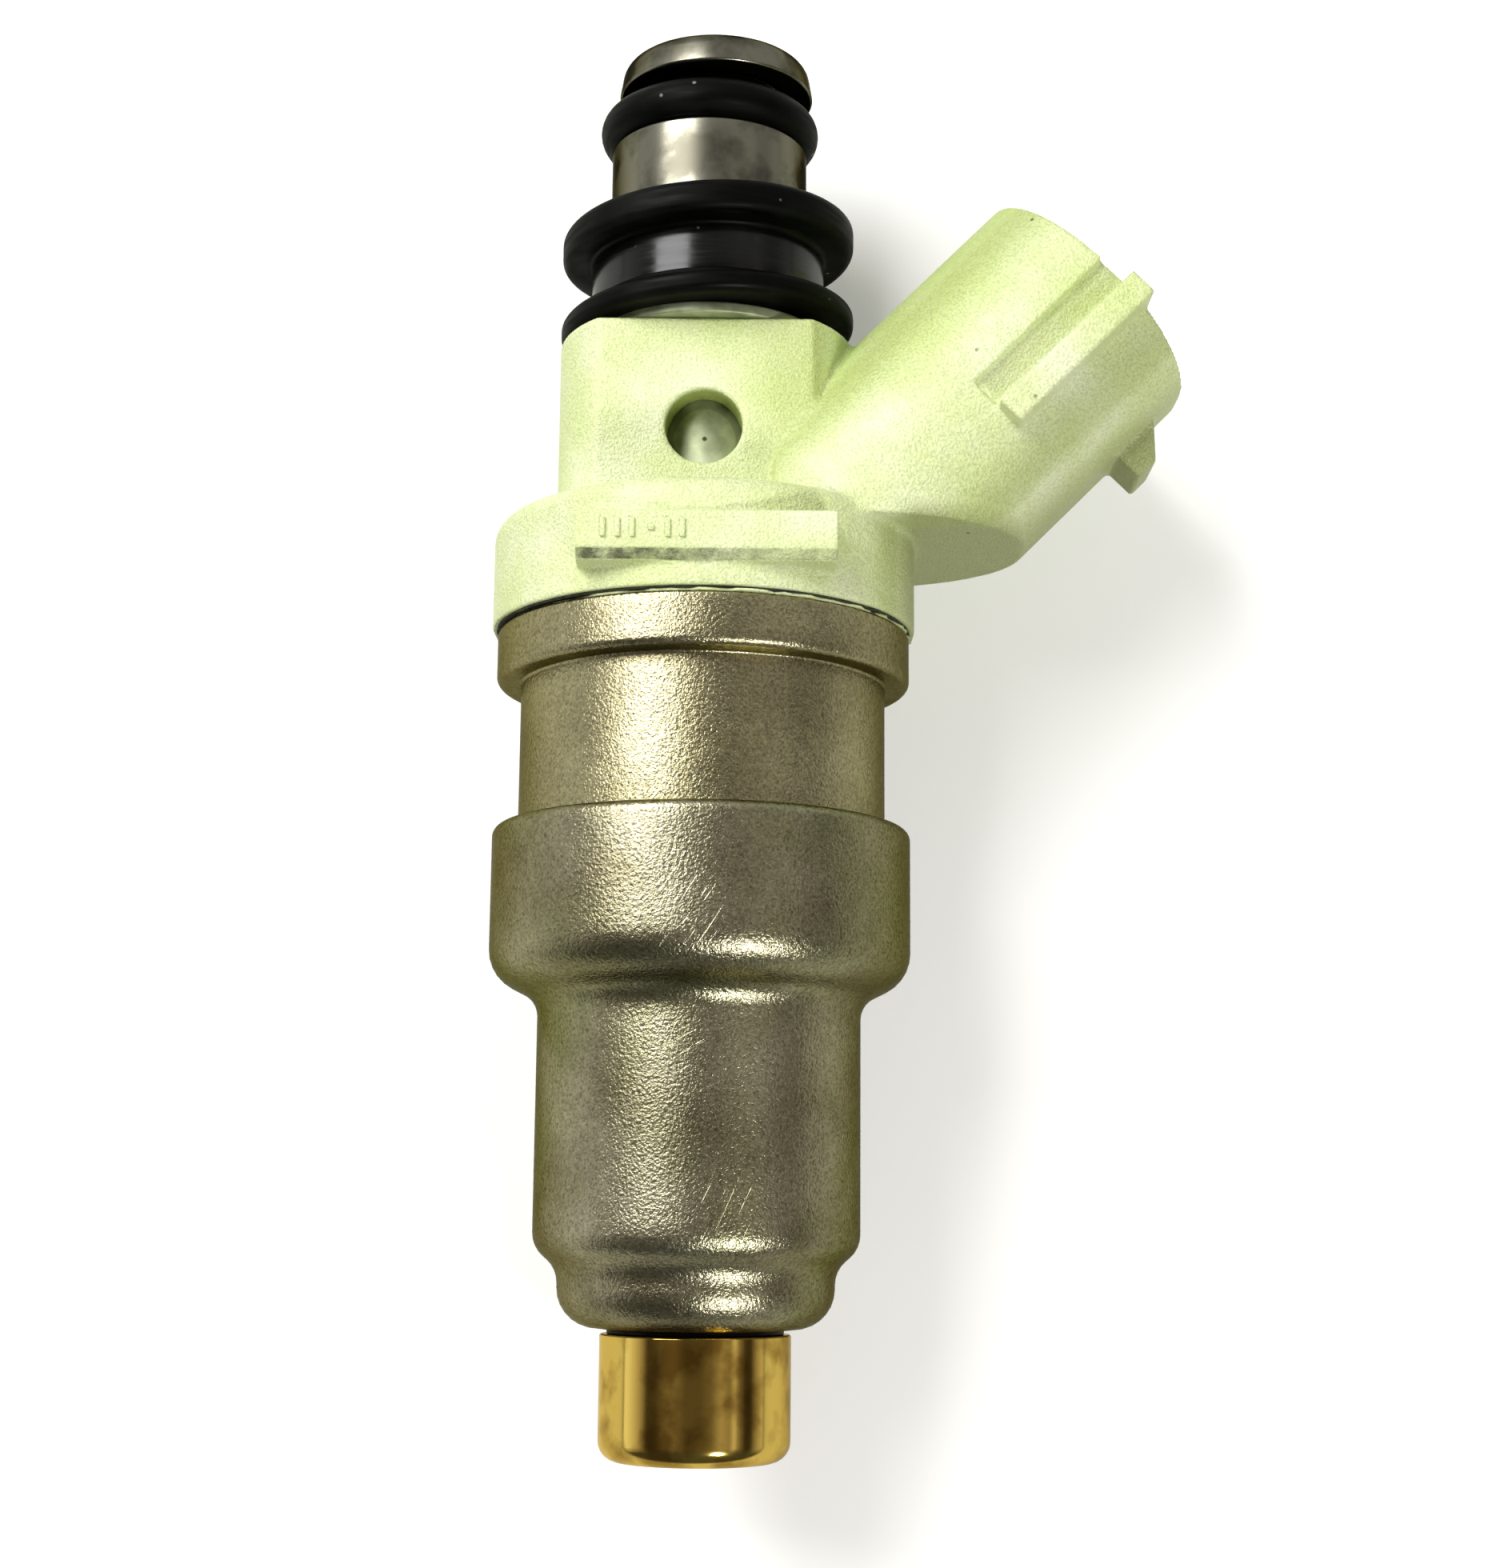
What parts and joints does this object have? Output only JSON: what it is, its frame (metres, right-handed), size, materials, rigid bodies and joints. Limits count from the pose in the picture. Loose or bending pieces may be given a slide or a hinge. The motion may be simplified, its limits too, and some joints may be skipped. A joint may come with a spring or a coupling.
{
  "type": "fuel injector",
  "caption": "Top-feed solenoid fuel injector with a brass nozzle sleeve, stepped steel body, rubber rail grommet and seal, and an angled moulded plug socket.",
  "frame": {"origin": "centre of the nozzle tip, on the injector's axis", "axes": "+Z along the injector's axis from nozzle to fuel inlet, +X the way the plug socket leans, -Y the side with the key rib and the date pad"},
  "size_m": [0.0357, 0.0221, 0.0726],
  "materials": {
    "turned_brass": "turned, bright",
    "seal_rubber": "moulded fluoroelastomer, semi-matt",
    "grommet_rubber": "moulded rubber, semi-matt",
    "satin_steel": "machined",
    "ground_steel": "ground",
    "spring_steel": "drawn wire",
    "blasted_steel": "blasted, with a fine satin grain",
    "turned_steel": "turned, satin",
    "tube_steel": "ground and worn",
    "bobbin_plastic": "moulded",
    "copper_wire": "enamelled copper wire",
    "coil_tape": "wrapped tape",
    "tinned_brass": "tinned, stamped",
    "moulded_resin": "glass-filled moulded resin, fine grain"
  },
  "bodies": {
    "injector_body": {"nozzle_sleeve": "turned_brass", "nozzle_seal_ring": "seal_rubber", "orifice_plate": "satin_steel", "valve_body": "satin_steel", "valve_body_o_ring": "seal_rubber", "lift_stop_plate": "satin_steel", "return_spring": "spring_steel", "valve_housing": "blasted_steel", "solenoid_case": "turned_steel", "coil_bobbin": "bobbin_plastic", "coil_winding": "copper_wire", "winding_tape": "coil_tape", "bobbin_o_ring": "seal_rubber", "core_o_ring": "seal_rubber", "yoke_washer": "satin_steel", "core_tube": "tube_steel", "adjusting_tube": "turned_brass", "filter_collar": "turned_brass", "filter_frame": "bobbin_plastic", "filter_mesh": "satin_steel", "terminal_front": "tinned_brass", "terminal_rear": "tinned_brass", "connector_moulding": "moulded_resin", "rail_grommet": "grommet_rubber", "rail_o_ring": "seal_rubber"},
    "needle": {"needle_valve": "ground_steel", "armature": "satin_steel"}
  },
  "joints": [
    {"name": "needle_lift", "type": "slide", "parent": "injector_body", "child": "needle", "axis": [0, 0, 1], "range_m": [0, 0.0001], "stiffness_N_per_m": 2500, "springref_m": -0.0016, "deforming": ["return_spring"]}
  ]
}
